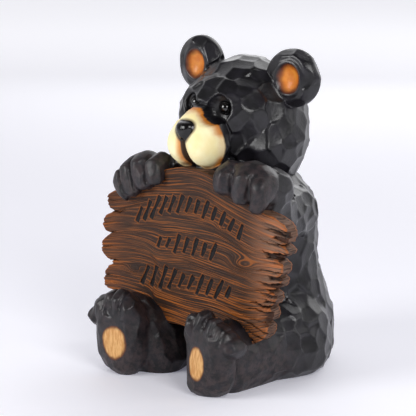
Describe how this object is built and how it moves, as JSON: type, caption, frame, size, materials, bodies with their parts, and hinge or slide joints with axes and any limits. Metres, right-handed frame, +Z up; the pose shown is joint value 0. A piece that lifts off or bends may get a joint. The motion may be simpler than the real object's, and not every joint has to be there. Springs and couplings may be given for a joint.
{
  "type": "chainsaw carved bear statue with a plank sign",
  "caption": "Seated black bear garden statue, cut in flat chainsaw-style facets, that holds a torn-ended plank sign before its chest and rests on its flat underside.",
  "frame": {"origin": "on the ground under the bear's body, on its flat underside", "axes": "+Z up, the bear faces -Y and its own left is +X"},
  "size_m": [0.2546, 0.2543, 0.3501],
  "materials": {
    "bear_paint": "satin black paint on cast resin, with a cream muzzle, orange ear cups and tan foot pads",
    "plank_paint": "grey-brown paint with orange-brown grain on cast resin, in the look of torn wood",
    "eye_gloss": "glossy black bead"
  },
  "bodies": {
    "root": {"bear": "bear_paint", "plank_sign": "plank_paint", "eye_left": "eye_gloss", "eye_right": "eye_gloss"}
  },
  "joints": []
}
